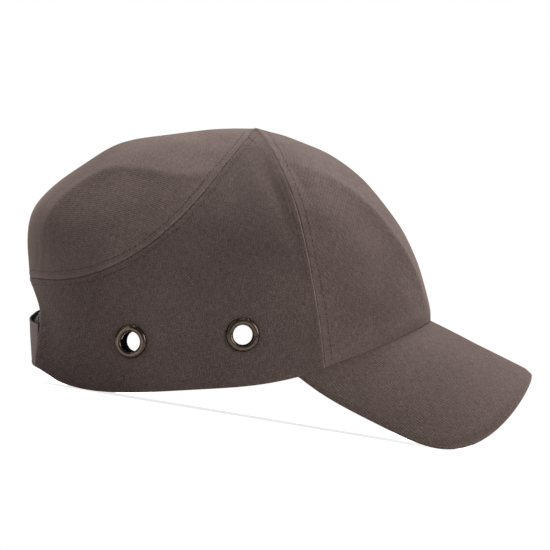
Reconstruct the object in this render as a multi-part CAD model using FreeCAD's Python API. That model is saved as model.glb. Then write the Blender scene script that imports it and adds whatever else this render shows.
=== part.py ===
# Bump cap: a twill cover on a hard inner shell, with a curved peak, eyelet vents and a hook-and-loop strap.
#
# The cap is drawn in its own frame, in millimetres: +X to the front, +Y to the wearer's left, +Z up, with the
# bottom edge of the sides near z = 0. It is exported in the resting frame, turned nose-up so that the sides of
# the peak and the back of the bottom edge stand on z = 0, with the origin under the middle of its outline.
import FreeCAD, Part
import math, os
from FreeCAD import Placement, Rotation, Vector

# Crown profiles from the top centre down to the bottom edge. Each has nine points, equally spaced in v, and a
# smooth curve runs through them. Front and rear are (x, z) on the middle line, the side is (y, z).
FRONT_LINE = [(22.6, 137.3), (38.5, 132.7), (55.5, 124.4), (72.0, 113.8), (85.5, 99.4),
              (95.6, 83.0), (102.8, 66.5), (108.2, 48.5), (111.2, 29.2)]
REAR_LINE = [(22.6, 137.3), (-3.5, 137.6), (-30.0, 136.3), (-54.5, 131.4), (-77.5, 118.0),
             (-97.0, 102.0), (-102.4, 78.0), (-100.7, 49.0), (-102.7, 19.0)]
SIDE_LINE = [(0.0, 137.3), (22.0, 135.0), (43.0, 127.5), (60.5, 114.0), (73.5, 95.5),
             (81.5, 74.0), (85.3, 50.5), (85.3, 26.0), (82.5, 0.0)]
WIDEST_X = [(22.6,), (18.0,), (12.0,), (6.0,), (1.0,), (-4.0,), (-8.0,), (-10.0,), (-11.0,)]

# Cover
COVER_THICKNESS = 1.5
SEAM_GAP_ANGLE = 0.12
SEAM_GAP_V = 0.0010
POLE_V = 0.015
FRONT_SEAM_LOW_ANGLE = 49.5
SEAM_POLE_ANGLE = 77.0
REAR_SEAM_V = 0.817
REAR_SEAM_TURN = 25.5
REAR_SEAM_DROP = 0.0194
REAR_SEAM_DROP_POWER = 5.0
REAR_SEAM_SPREAD = 1.6
REAR_PANEL_START = 2.0
MIDDLE_BACK_ANGLE = 179.7
ARCH_HALF_ANGLE = 19.0
ARCH_TOP_V = 0.8225
ARCH_SHOULDER_V = 0.90
ARCH_FACING_END = 0.30
TAPE_OUT = -1.62
TAPE_THICKNESS = 0.4
FRONT_TAPE_HALF_WIDTH = 6.0
FRONT_TAPE_V = (0.12, 0.97)
REAR_TAPE_HALF_V = 0.034
REAR_TAPE_START = 12.0
CROWN_TAPE_V = 0.08
CROWN_TAPE_ROUNDNESS = 0.6
FACING_OUT = -2.05
FACING_WIDTH_V = 0.045
FACING_WIDTH_ANGLE = 5.0

# Hard shell and foam
SHELL_OUT = -2.6
SHELL_THICKNESS = 2.0
SHELL_SIDE_V = 0.775
SHELL_FRONT_V = 0.85
SHELL_REAR_V = 0.755
SHELL_ROUNDNESS = 0.9
VENT_LENGTH = 24.0
VENT_WIDTH = 6.0
VENT_V = 0.50
VENT_ANGLES = [62.0, 90.0, 118.0]
PAD_OUT = -4.8
PAD_THICKNESS = 5.0
CROWN_PAD_V = 0.36
CROWN_PAD_ROUNDNESS = 0.7
FRONT_PAD = (-38.0, 38.0, 0.56, 0.80)
REAR_PAD = (152.0, 208.0, 0.52, 0.72)
SIDE_PAD = (66.0, 124.0, 0.62, 0.745)

# Sweatband
BAND_OUT = -2.1
BAND_THICKNESS = 2.5
BAND_LOW_V = 0.985
BAND_FRONT_V = 0.865
BAND_SIDE_V = 0.925
BAND_END_ANGLE = 148.0
LABEL_ANGLES = (98.0, 112.0)
LABEL_V = (0.935, 0.975)
LABEL_THICKNESS = 0.3

# Peak: a sheet bent round a level cylinder whose axis slopes down to the front
PEAK_SLOPE = 29.75
PEAK_BEND_RADIUS = 80.5
PEAK_HALF_WIDTH = 107.0
PEAK_LENGTH = 61.5
PEAK_BACK = 89.0
PEAK_POWER = 3.4
PEAK_CORNER_ANGLE = 114.0
PEAK_SEAM_ANGLE = 55.0
PEAK_SEAM_GAP = 0.3
PEAK_CLOTH = 0.8
PEAK_BOARD = 2.0
PEAK_BOARD_INSET = 3.0
PEAK_LAYER_GAP = 0.05

# Eyelets
EYELET_PLACES = {"front_eyelet": (76.6, 0.870), "rear_eyelet": (116.0, 0.874)}
EYELET_HOLE_RADIUS = 5.35
EYELET_BARREL_RADIUS = 6.0
EYELET_FLANGE_RADIUS = 8.65
EYELET_FLANGE_HEIGHT = 1.5
EYELET_CREST_SHARE = 0.45
EYELET_LIP_WIDTH = 1.0
EYELET_LIP_HEIGHT = 0.6
CLOTH_HOLE_RADIUS = 6.1
WASHER_RADIUS = 8.2
WASHER_TOP = -2.15
WASHER_THICKNESS = 0.8

# Rear strap: strips round a vertical axis, at angles from the middle of the back, + to the wearer's left
STRAP_AXIS_X = -12.8
TAB_RADIUS = 86.4
LOOP_RADIUS = 87.4
HOOK_RADIUS = 88.5
STRAP_RADIUS = 89.3
TAB_THICKNESS = 0.95
LOOP_THICKNESS = 0.8
HOOK_THICKNESS = 0.75
STRAP_THICKNESS = 1.2
STRAP_HEIGHT = 24.0
STRAP_MIDDLE_Z = 30.9
STRAP_RISE = 0.13
TAB_RISE = -0.15
TAB_MIDDLE_Z = 29.5
STRAP_STEP = 1.1
STRAP_STEP_ANGLE = 10.0
STRAP_STEP_TURN = 8.0
STRAP_TAIL_ANGLES = (-18.3, 18.9)
STRAP_TAIL_SLANT = 4.5
STRAP_ROOT_ANGLES = (19.4, 31.0)
HOOK_ANGLES = (-14.5, 9.5)
HOOK_SLANT = 3.0
LOOP_ANGLES = (-15.5, 9.0)
FASTENER_HEIGHT = 20.0
TAB_ANGLES = (-29.0, 10.0)
TAB_HEIGHT = 24.0

# Resting place
REST_PITCH = 12.58
REST_SHIFT = Vector(-21.07, 0.0, 13.0)


def spline_poles(points):
    """The poles of the natural cubic spline through equally spaced points."""
    last = len(points) - 1
    inner = list(points)
    ratio = [0.0] * last
    for i in range(1, last):
        ratio[i] = 1.0 / (4.0 - ratio[i - 1])
        inner[i] = (points[i] * 6.0 - inner[i - 1]) * ratio[i]
    for i in range(last - 1, 0, -1):
        inner[i] = inner[i] - inner[i + 1] * ratio[i]
    after_start = (inner[0] * 2.0 + inner[1]) * (1.0 / 3.0)
    before_end = (inner[last] * 2.0 + inner[last - 1]) * (1.0 / 3.0)
    return [points[0], after_start] + inner[1:last] + [before_end, points[last]]


def spline_knots(spans):
    """Equally spaced knots from 0 to 1 and their multiplicities, for a clamped cubic."""
    return [i / spans for i in range(spans + 1)], [4] + [1] * (spans - 1) + [4]


def profile(points):
    """Returns f(v), the smooth curve through equally spaced (x or y, z) points, for v from 0 to 1."""
    knots, multiplicities = spline_knots(len(points) - 1)
    curve = Part.BSplineCurve()
    poles = spline_poles([Vector(point[0], 0.0, point[-1]) for point in points])
    curve.buildFromPolesMultsKnots(poles, multiplicities, knots, False, 3)
    return lambda v: (curve.value(v).x, curve.value(v).z)


front_line = profile(FRONT_LINE)
rear_line = profile(REAR_LINE)
side_line = profile(SIDE_LINE)
widest_x = profile(WIDEST_X)


def superellipse_radius(along, across, length, width, power):
    """The distance from the centre to a superellipse in the direction (along, across)."""
    return ((abs(along) / length) ** power + (abs(across) / width) ** power) ** (-1.0 / power)


def crown_face(angle, v):
    """A point on the crown's outer face: angle in degrees from the front, v from the top centre to the edge."""
    along = math.cos(math.radians(angle))
    across = math.sin(math.radians(angle))
    middle = widest_x(v)[0]
    side_y, side_z = side_line(v)
    if along >= 0.0:
        end_x, end_z = front_line(v)
        share = abs(along) ** (2.0 + 1.3 * v ** 2)
    else:
        end_x, end_z = rear_line(v)
        share = abs(along) ** (2.0 + 3.0 * v ** 3)
    length = max(abs(end_x - middle), 1e-6)
    width = max(side_y, 1e-6)
    reach = superellipse_radius(along, across, length, width, 2.0 + 0.25 * v)
    return Vector(middle + reach * along, reach * across, side_z + (end_z - side_z) * share)


def crown_normal(angle, v):
    """The outward direction of the crown's face."""
    v = min(max(v, 0.004), 0.999)
    step_v = 0.001
    round_way = crown_face(angle + 0.1, v) - crown_face(angle - 0.1, v)
    down_way = crown_face(angle, v + step_v) - crown_face(angle, v - step_v)
    normal = down_way.cross(round_way)
    normal.normalize()
    return normal


def crown(angle, v, lift=0.0):
    """A point lifted off the crown's outer face; a negative lift is inside the cover."""
    return crown_face(angle, v) + crown_normal(angle, v) * lift


def sheet(point, columns, rows, outer_lift, thickness):
    """A solid between two lifted copies of the four-sided face point(a, b, lift), with a and b from 0 to 1."""
    column_knots, column_mults = spline_knots(columns)
    row_knots, row_mults = spline_knots(rows)
    faces = []
    for lift in (outer_lift, outer_lift - thickness):
        along = [spline_poles([point(a / columns, b / rows, lift) for a in range(columns + 1)])
                 for b in range(rows + 1)]
        poles = [spline_poles(list(column)) for column in zip(*along)]
        surface = Part.BSplineSurface()
        surface.buildFromPolesMultsKnots(poles, column_mults, row_mults, column_knots, row_knots,
                                         False, False, 3, 3)
        faces.append(surface.toShape())
    for outer_edge, inner_edge in zip(faces[0].Edges, faces[1].Edges):
        faces.append(Part.makeRuledSurface(outer_edge, inner_edge))
    shell = Part.makeShell(faces)
    shell.sewShape()
    solid = Part.makeSolid(shell)
    if solid.Volume < 0.0:
        solid.reverse()
    return solid


def between(low, high, share):
    return low + (high - low) * share


def smooth_step(share):
    share = min(max(share, 0.0), 1.0)
    return share * share * (3.0 - 2.0 * share)


# ---- the cover's seams, as places on the crown ----

def front_seam_angle(v):
    rise = 1.0 - v
    turn = SEAM_POLE_ANGLE - FRONT_SEAM_LOW_ANGLE
    return FRONT_SEAM_LOW_ANGLE + turn * (0.58 * rise + 0.42 * rise ** 3)


def rear_seam_v(angle):
    turned = angle - SEAM_POLE_ANGLE
    drop = REAR_SEAM_DROP * (turned / (180.0 - SEAM_POLE_ANGLE)) ** REAR_SEAM_DROP_POWER
    return REAR_SEAM_V * (1.0 - math.exp(-turned / REAR_SEAM_TURN)) + drop


def arch_edge(share):
    """The edge of the opening at the back, from its top in the middle down to the bottom edge."""
    if share < 0.5:
        turn = math.pi * share
        angle = 180.0 - ARCH_HALF_ANGLE * math.sin(turn)
        return angle, ARCH_TOP_V + (ARCH_SHOULDER_V - ARCH_TOP_V) * (1.0 - math.cos(turn))
    return 180.0 - ARCH_HALF_ANGLE, between(ARCH_SHOULDER_V, 1.0, 2.0 * share - 1.0)


# ---- the cover ----

def front_panel():
    def point(a, b, lift):
        v = between(POLE_V, 1.0, b)
        half = front_seam_angle(v) - SEAM_GAP_ANGLE
        return crown(between(-half, half, a), v, lift)

    return sheet(point, 16, 18, 0.0, COVER_THICKNESS)


def rear_crown_panel():
    start = SEAM_POLE_ANGLE + REAR_PANEL_START

    def point(a, b, lift):
        half = between(start, 180.0, (1.0 - abs(2.0 * a - 1.0)) ** REAR_SEAM_SPREAD)
        angle = half if a < 0.5 else 360.0 - half
        return crown(angle, between(POLE_V, rear_seam_v(half) - SEAM_GAP_V, b), lift)

    return sheet(point, 44, 12, 0.0, COVER_THICKNESS)


def side_panel(side):
    """The panel from the front seam round to the back; side is +1 for the wearer's left, -1 for the right."""
    corner = (SEAM_POLE_ANGLE, 0.0)

    def seam_edge(share):
        angle = between(SEAM_POLE_ANGLE, MIDDLE_BACK_ANGLE, share ** REAR_SEAM_SPREAD)
        return angle, rear_seam_v(angle) + SEAM_GAP_V * min(1.0, 10.0 * share)

    def low_edge(share):
        return between(FRONT_SEAM_LOW_ANGLE + SEAM_GAP_ANGLE, 180.0 - ARCH_HALF_ANGLE, share), 1.0

    def front_edge(share):
        return front_seam_angle(share) + SEAM_GAP_ANGLE * min(1.0, 10.0 * share), share

    def back_edge(share):
        angle, v = arch_edge(share)
        return min(angle, MIDDLE_BACK_ANGLE), v

    top_end = seam_edge(1.0)
    low_start = low_edge(0.0)
    low_end = low_edge(1.0)

    def point(a, b, lift):
        place = []
        for i in (0, 1):
            across = (1.0 - b) * seam_edge(a)[i] + b * low_edge(a)[i]
            down = (1.0 - a) * front_edge(b)[i] + a * back_edge(b)[i]
            corners = (1.0 - b) * ((1.0 - a) * corner[i] + a * top_end[i])
            corners += b * ((1.0 - a) * low_start[i] + a * low_end[i])
            place.append(across + down - corners)
        return crown(side * place[0], max(place[1], 0.0), lift)

    panel = sheet(point, 24, 18, 0.0, COVER_THICKNESS)
    depth = 10.0
    for angle, v in EYELET_PLACES.values():
        hole = Part.makeCylinder(CLOTH_HOLE_RADIUS, depth, Vector(0.0, 0.0, -depth / 2.0))
        hole.Placement = on_crown(side * angle, v)
        panel = panel.cut(hole)
    return panel.Solids[0]


def on_crown(angle, v):
    """A placement with its origin on the crown's outer face and its Z axis pointing straight out."""
    return Placement(crown_face(angle, v), Rotation(Vector(0.0, 0.0, 1.0), crown_normal(angle, v)))


def front_seam_tape(side):
    def point(a, b, lift):
        v = between(*FRONT_TAPE_V, b)
        reach = math.hypot(*list(crown_face(front_seam_angle(v), v))[:2])
        half = math.degrees(FRONT_TAPE_HALF_WIDTH / reach)
        return crown(side * (front_seam_angle(v) + between(-half, half, a)), v, lift)

    return sheet(point, 4, 24, TAPE_OUT, TAPE_THICKNESS)


def rear_seam_tape():
    start = SEAM_POLE_ANGLE + REAR_TAPE_START

    def point(a, b, lift):
        angle = between(start, 360.0 - start, a)
        from_middle = abs(180.0 - angle)
        seam_v = rear_seam_v(180.0 - from_middle)
        past_arch = max(0.0, from_middle - ARCH_HALF_ANGLE)
        low_v = min(seam_v + REAR_TAPE_HALF_V, ARCH_TOP_V - SEAM_GAP_V * (1.0 - past_arch))
        return crown(angle, between(seam_v - REAR_TAPE_HALF_V, low_v, b), lift)

    return sheet(point, 56, 4, TAPE_OUT, TAPE_THICKNESS)


def crown_tape():
    """A small patch that closes the cover from inside where all the seams meet."""
    return dome(lambda angle: CROWN_TAPE_V, CROWN_TAPE_ROUNDNESS, 8, TAPE_OUT, TAPE_THICKNESS)


def arch_facing():
    """The tape sewn inside round the opening at the back."""

    def point(a, b, lift):
        across = 2.0 * a - 1.0
        angle, v = arch_edge(ARCH_FACING_END * abs(across))
        turn = min(1.0, (180.0 - angle) / ARCH_HALF_ANGLE)
        angle -= FACING_WIDTH_ANGLE * b * turn
        v -= FACING_WIDTH_V * b * math.sqrt(max(0.0, 1.0 - turn ** 4))
        return crown(angle if across < 0.0 else 360.0 - angle, v, lift)

    return sheet(point, 24, 2, FACING_OUT, TAPE_THICKNESS)


# ---- the shell and the foam inside it ----

def dome(edge_v, roundness, steps, outer_lift, thickness):
    """A solid cap over the top of the crown, out to v = edge_v(angle), from a square grid bent nearly round.

    A roundness of 0 keeps the square's corners, and 1 would make a disc.
    """

    def point(a, b, lift):
        along = 2.0 * a - 1.0
        across = 2.0 * b - 1.0
        disc_x = along * math.sqrt(1.0 - roundness * across ** 2 / 2.0)
        disc_y = across * math.sqrt(1.0 - roundness * along ** 2 / 2.0)
        angle = math.degrees(math.atan2(disc_y, disc_x))
        return crown(angle, math.hypot(disc_x, disc_y) * edge_v(angle), lift)

    return sheet(point, steps, steps, outer_lift, thickness)


def shell_edge_v(angle):
    along = math.cos(math.radians(angle))
    end_v = SHELL_FRONT_V if along > 0.0 else SHELL_REAR_V
    return between(SHELL_SIDE_V, end_v, along ** 2)


def vent_cutter(angle, v):
    """A slot with round ends, cut square to the shell and running down it."""
    depth = 16.0
    straight = VENT_LENGTH - VENT_WIDTH
    slot = Part.makeBox(straight, VENT_WIDTH, depth, Vector(-straight / 2.0, -VENT_WIDTH / 2.0, -depth / 2.0))
    for end in (-1.0, 1.0):
        round_end = Part.makeCylinder(VENT_WIDTH / 2.0, depth, Vector(end * straight / 2.0, 0.0, -depth / 2.0))
        slot = slot.fuse(round_end)
    normal = crown_normal(angle, v)
    down_way = crown_face(angle, v + 0.01) - crown_face(angle, v - 0.01)
    slot.Placement = Placement(crown_face(angle, v), Rotation(down_way, Vector(), normal, "ZXY"))
    return slot


def hard_shell():
    shell = dome(shell_edge_v, SHELL_ROUNDNESS, 16, SHELL_OUT, SHELL_THICKNESS)
    for angle in VENT_ANGLES:
        for side in (-1.0, 1.0):
            shell = shell.cut(vent_cutter(side * angle, VENT_V))
    return shell.Solids[0]


def crown_pad():
    return dome(lambda angle: CROWN_PAD_V, CROWN_PAD_ROUNDNESS, 10, PAD_OUT, PAD_THICKNESS)


def pad(angle_from, angle_to, v_from, v_to):
    """A foam pad on the inside of the shell."""

    def point(a, b, lift):
        return crown(between(angle_from, angle_to, a), between(v_from, v_to, b), lift)

    return sheet(point, 10, 5, PAD_OUT, PAD_THICKNESS)


def band_top_v(angle):
    return between(BAND_SIDE_V, BAND_FRONT_V, max(0.0, math.cos(math.radians(angle))) ** 2)


def sweatband():
    def point(a, b, lift):
        angle = between(-BAND_END_ANGLE, BAND_END_ANGLE, a)
        return crown(angle, between(band_top_v(angle), BAND_LOW_V, b), lift)

    return sheet(point, 32, 4, BAND_OUT, BAND_THICKNESS)


def size_label():
    def point(a, b, lift):
        return crown(between(*LABEL_ANGLES, a), between(*LABEL_V, b), lift)

    return sheet(point, 4, 2, BAND_OUT - BAND_THICKNESS - 0.05, LABEL_THICKNESS)


# ---- the peak ----

SLOPE = math.radians(PEAK_SLOPE)
PEAK_FORWARD = Vector(math.cos(SLOPE), 0.0, -math.sin(SLOPE))
PEAK_UP = Vector(math.sin(SLOPE), 0.0, math.cos(SLOPE))
PEAK_START = crown_face(0.0, 1.0)


def peak_bent(round_way, forward, lift):
    """A point of the flat peak after bending: round_way is measured round the bend from the middle line."""
    turn = round_way / PEAK_BEND_RADIUS
    radius = PEAK_BEND_RADIUS + lift
    drop = PEAK_BEND_RADIUS - radius * math.cos(turn)
    return PEAK_START + PEAK_FORWARD * forward + Vector(0.0, radius * math.sin(turn), 0.0) - PEAK_UP * drop


def peak_outline(share, inset):
    """The flat peak's outer edge, from its right corner to its left corner."""
    direction = math.radians(between(-PEAK_CORNER_ANGLE, PEAK_CORNER_ANGLE, share))
    forward = math.cos(direction)
    across = math.sin(direction)
    length = PEAK_LENGTH if forward > 0.0 else PEAK_BACK
    reach = superellipse_radius(forward, across, length - inset, PEAK_HALF_WIDTH - inset, PEAK_POWER)
    return reach * across, reach * forward


def peak_seam(share, gap):
    """The flat peak's inner edge, where it is sewn to the crown."""
    offset = crown_face(between(-PEAK_SEAM_ANGLE, PEAK_SEAM_ANGLE, share), 1.0) - PEAK_START
    drop = -offset.dot(PEAK_UP)
    turn = math.atan2(offset.y, PEAK_BEND_RADIUS - drop)
    return PEAK_BEND_RADIUS * turn, offset.dot(PEAK_FORWARD) + gap


def peak_layer(outer_lift, thickness, inset):
    def point(a, b, lift):
        trim = inset * 0.01
        share = between(trim, 1.0 - trim, a)
        out_round, out_forward = peak_outline(share, inset)
        in_round, in_forward = peak_seam(share, PEAK_SEAM_GAP + inset)
        return peak_bent(between(in_round, out_round, b), between(in_forward, out_forward, b), lift)

    return sheet(point, 32, 6, outer_lift, thickness)


# ---- eyelets ----

def ring(profile, side, place):
    """A ring turned from a closed (radius, height) profile and set square to the crown's face."""
    angle, v = EYELET_PLACES[place]
    points = [Vector(radius, 0.0, height) for radius, height in profile]
    face = Part.Face(Part.makePolygon(points + points[:1]))
    turned = face.revolve(Vector(), Vector(0.0, 0.0, 1.0), 360.0)
    turned.Placement = on_crown(side * angle, v)
    return turned


def eyelet(side, place):
    """A rolled flange outside, a barrel through the cloth and a lip turned over the washer."""
    lip = WASHER_TOP - WASHER_THICKNESS - 0.05
    crest = between(EYELET_HOLE_RADIUS, EYELET_FLANGE_RADIUS, EYELET_CREST_SHARE)
    profile = [
        (EYELET_HOLE_RADIUS, lip - EYELET_LIP_HEIGHT),
        (EYELET_BARREL_RADIUS + EYELET_LIP_WIDTH, lip - EYELET_LIP_HEIGHT),
        (EYELET_BARREL_RADIUS + EYELET_LIP_WIDTH, lip),
        (EYELET_BARREL_RADIUS, lip),
        (EYELET_BARREL_RADIUS, 0.05),
        (EYELET_FLANGE_RADIUS, 0.05),
        (EYELET_FLANGE_RADIUS - 0.2, 0.65),
        (crest + 1.0, EYELET_FLANGE_HEIGHT - 0.25),
        (crest, EYELET_FLANGE_HEIGHT),
        (crest - 0.9, EYELET_FLANGE_HEIGHT - 0.35),
        (EYELET_HOLE_RADIUS, 0.4),
    ]
    return ring(profile, side, place)


def washer(side, place):
    inner = EYELET_BARREL_RADIUS + 0.1
    low = WASHER_TOP - WASHER_THICKNESS
    return ring([(inner, low), (WASHER_RADIUS, low), (WASHER_RADIUS, WASHER_TOP), (inner, WASHER_TOP)], side, place)


# ---- the strap at the back ----

def strap_radius_step(angle):
    """How far the strap climbs to pass over the edge of the left side panel."""
    return STRAP_STEP * smooth_step((angle - STRAP_STEP_ANGLE) / STRAP_STEP_TURN)


def strip(angles, radius, thickness, middle_z, height, rise, step=0.0, slant=0.0):
    """A strip bent round the strap axis. slant shortens its lower edge at the free end, in degrees."""

    def point(a, b, lift):
        angle = between(angles[0] + slant * b, angles[1], a)
        reach = radius + thickness + lift + step * strap_radius_step(angle)
        turn = math.radians(angle)
        y = reach * math.sin(turn)
        return Vector(STRAP_AXIS_X - reach * math.cos(turn), y, middle_z + rise * y + height * (0.5 - b))

    return sheet(point, 14, 4, 0.0, thickness)


def strap_pieces():
    strap = (STRAP_RADIUS, STRAP_THICKNESS, STRAP_MIDDLE_Z, STRAP_HEIGHT, STRAP_RISE, 1.0)
    return {
        "right_tab": strip(TAB_ANGLES, TAB_RADIUS, TAB_THICKNESS, TAB_MIDDLE_Z, TAB_HEIGHT, TAB_RISE),
        "loop_tape": strip(LOOP_ANGLES, LOOP_RADIUS, LOOP_THICKNESS, TAB_MIDDLE_Z, FASTENER_HEIGHT, TAB_RISE),
        "hook_tape": strip(HOOK_ANGLES, HOOK_RADIUS, HOOK_THICKNESS, STRAP_MIDDLE_Z, FASTENER_HEIGHT, STRAP_RISE,
                           slant=HOOK_SLANT),
        "strap": strip(STRAP_TAIL_ANGLES, *strap, slant=STRAP_TAIL_SLANT),
        "strap_root": strip(STRAP_ROOT_ANGLES, *strap),
    }


# ---- the whole cap ----

def all_pieces():
    board_lift = -PEAK_CLOTH - PEAK_LAYER_GAP
    under_lift = board_lift - PEAK_BOARD - PEAK_LAYER_GAP
    pieces = {
        "front_panel": front_panel(),
        "rear_crown_panel": rear_crown_panel(),
        "rear_seam_tape": rear_seam_tape(),
        "crown_tape": crown_tape(),
        "arch_facing": arch_facing(),
        "hard_shell": hard_shell(),
        "crown_pad": crown_pad(),
        "front_pad": pad(*FRONT_PAD),
        "rear_pad": pad(*REAR_PAD),
        "sweatband": sweatband(),
        "size_label": size_label(),
        "peak_top_cloth": peak_layer(0.0, PEAK_CLOTH, 0.0),
        "peak_board": peak_layer(board_lift, PEAK_BOARD, PEAK_BOARD_INSET),
        "peak_under_cloth": peak_layer(under_lift, PEAK_CLOTH, 0.0),
    }
    pad_from, pad_to, pad_top, pad_low = SIDE_PAD
    for side, name in ((-1.0, "right"), (1.0, "left")):
        pieces[f"{name}_side_panel"] = side_panel(side)
        pieces[f"{name}_front_seam_tape"] = front_seam_tape(side)
        ends = sorted((side * pad_from, side * pad_to))
        pieces[f"{name}_side_pad"] = pad(*ends, pad_top, pad_low)
        for place in EYELET_PLACES:
            pieces[f"{name}_{place}"] = eyelet(side, place)
            pieces[f"{name}_{place}_washer"] = washer(side, place)
    pieces.update(strap_pieces())
    return pieces


def export_all(pieces):
    os.makedirs("parts", exist_ok=True)
    rest = Placement(REST_SHIFT, Rotation(Vector(0.0, 1.0, 0.0), -REST_PITCH))
    for name, shape in pieces.items():
        shape.Placement = rest.multiply(shape.Placement)
        shape.exportStep(f"parts/{name}.step")


if __name__ == "__main__":
    export_all(all_pieces())
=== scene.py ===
# Bump cap: the looks. Cloth panels, stitching, metal eyelets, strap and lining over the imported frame.
#
# Shapes are drawn in the cap's own frame, in millimetres, with the bottom edge of the sides near z = 0, and
# to_rest() turns them nose-up into the resting frame, in metres. Angles run in degrees round the crown from
# the front, and v runs down it from 0 at the top to 1 at the bottom edge.
import bpy
import math
import numpy as np
from mathutils import Matrix, Vector, noise


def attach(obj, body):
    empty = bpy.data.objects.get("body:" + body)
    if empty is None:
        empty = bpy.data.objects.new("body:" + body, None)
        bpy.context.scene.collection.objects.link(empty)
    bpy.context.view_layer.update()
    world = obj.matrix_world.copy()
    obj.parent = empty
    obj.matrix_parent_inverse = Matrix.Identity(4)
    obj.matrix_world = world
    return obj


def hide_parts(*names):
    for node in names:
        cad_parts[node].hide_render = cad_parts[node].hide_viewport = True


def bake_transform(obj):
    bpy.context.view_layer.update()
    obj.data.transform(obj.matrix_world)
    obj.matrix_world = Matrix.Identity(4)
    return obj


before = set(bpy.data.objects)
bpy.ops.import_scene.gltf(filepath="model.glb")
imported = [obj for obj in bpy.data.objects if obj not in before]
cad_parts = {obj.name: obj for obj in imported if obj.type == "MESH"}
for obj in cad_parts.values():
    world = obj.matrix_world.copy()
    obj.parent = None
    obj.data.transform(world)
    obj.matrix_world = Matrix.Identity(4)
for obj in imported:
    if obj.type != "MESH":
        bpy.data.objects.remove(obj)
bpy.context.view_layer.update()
CAP, TAIL = "cap", "strap_tail"
SIDES = ((-1.0, "right"), (1.0, "left"))
TURN = 2.0 * math.pi

# ---- sizes, as in the CAD ----

CROWN_TOP_X = 22.6
FRONT_LINE = [(22.6, 137.3), (38.5, 132.7), (55.5, 124.4), (72.0, 113.8), (85.5, 99.4),
              (95.6, 83.0), (102.8, 66.5), (108.2, 48.5), (111.2, 29.2)]
REAR_LINE = [(22.6, 137.3), (-3.5, 137.6), (-30.0, 136.3), (-54.5, 131.4), (-77.5, 118.0),
             (-97.0, 102.0), (-102.4, 78.0), (-100.7, 49.0), (-102.7, 19.0)]
SIDE_LINE = [(0.0, 137.3), (22.0, 135.0), (43.0, 127.5), (60.5, 114.0), (73.5, 95.5),
             (81.5, 74.0), (85.3, 50.5), (85.3, 26.0), (82.5, 0.0)]
WIDEST_X = [(22.6,), (18.0,), (12.0,), (6.0,), (1.0,), (-4.0,), (-8.0,), (-10.0,), (-11.0,)]
REST_PITCH = 12.58
REST_SHIFT = (-21.07, 0.0, 13.0)

CLOTH = 1.3
FRONT_SEAM_LOW_ANGLE = 49.5
SEAM_POLE_ANGLE = 77.0
REAR_SEAM_V = 0.817
REAR_SEAM_TURN = 25.5
REAR_SEAM_DROP = 0.0194
REAR_SEAM_DROP_POWER = 5.0
ARCH_HALF_ANGLE = 19.0
ARCH_TOP_V = 0.8225
ARCH_SHOULDER_V = 0.90

PEAK_SLOPE = 29.75
PEAK_BEND_RADIUS = 80.5
PEAK_HALF_WIDTH = 107.0
PEAK_LENGTH = 61.5
PEAK_BACK = 89.0
PEAK_POWER = 3.5
PEAK_CORNER_ANGLE = 116.5
PEAK_SEAM_ANGLE = 57.0
PEAK_THICKNESS = 3.6

EYELETS = {"front_eyelet": (76.6, 0.870), "rear_eyelet": (116.0, 0.874)}
EYELET_HOLE = 5.35
EYELET_FLANGE = 8.85

STRAP_AXIS_X = -12.8
STRAP_MIDDLE_Z = 30.9
STRAP_RISE = 0.13
TAB_MIDDLE_Z = 29.5
TAB_RISE = -0.15


# ---- small helpers ----

def add_object(name, data):
    thing = bpy.data.objects.new(name, data)
    bpy.context.scene.collection.objects.link(thing)
    return thing


def between(low, high, share):
    return low + (high - low) * share


def smooth(low, high, value):
    share = np.clip((value - low) / (high - low), 0.0, 1.0)
    return share * share * (3.0 - 2.0 * share)


def bell(distance, width, centre=0.0):
    """1 at the centre, falling softly to nothing within about two widths on both sides."""
    return np.exp(-((distance - centre) / width) ** 2)


def unit(vectors):
    return vectors / np.maximum(np.linalg.norm(vectors, axis=-1, keepdims=True), 1e-9)


def to_rest(points):
    """Points of the cap's own frame, in millimetres, as points of the resting frame, in metres."""
    points = np.asarray(points, float)
    turn = math.radians(REST_PITCH)
    x = points[..., 0] * math.cos(turn) - points[..., 2] * math.sin(turn)
    z = points[..., 0] * math.sin(turn) + points[..., 2] * math.cos(turn)
    return (np.stack([x, points[..., 1], z], -1) + REST_SHIFT) * 0.001


def from_rest(points):
    """The reverse of to_rest."""
    points = np.asarray(points, float) * 1000.0 - REST_SHIFT
    turn = math.radians(REST_PITCH)
    x = points[..., 0] * math.cos(turn) + points[..., 2] * math.sin(turn)
    z = -points[..., 0] * math.sin(turn) + points[..., 2] * math.cos(turn)
    return np.stack([x, points[..., 1], z], -1)


def noise_at(points, size, seed):
    """Smooth noise from -1 to 1 at each point, for features about size millimetres across."""
    flat = points.reshape(-1, 3) / size + seed * 17.3
    values = [noise.noise(Vector(point)) for point in flat]
    return np.array(values).reshape(points.shape[:-1])


def spaced(length, coarse, fine, rim):
    """Shares from 0 to 1 along a length, with finer steps within rim of both ends."""
    steps = max(2, round(rim / fine))
    edge = np.linspace(0.0, rim, steps + 1)[:-1]
    middle = np.linspace(rim, length - rim, max(2, round((length - 2.0 * rim) / coarse) + 1))
    return np.concatenate([edge, middle, length - edge[::-1]]) / length


# ---- the crown's outer face ----

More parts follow.
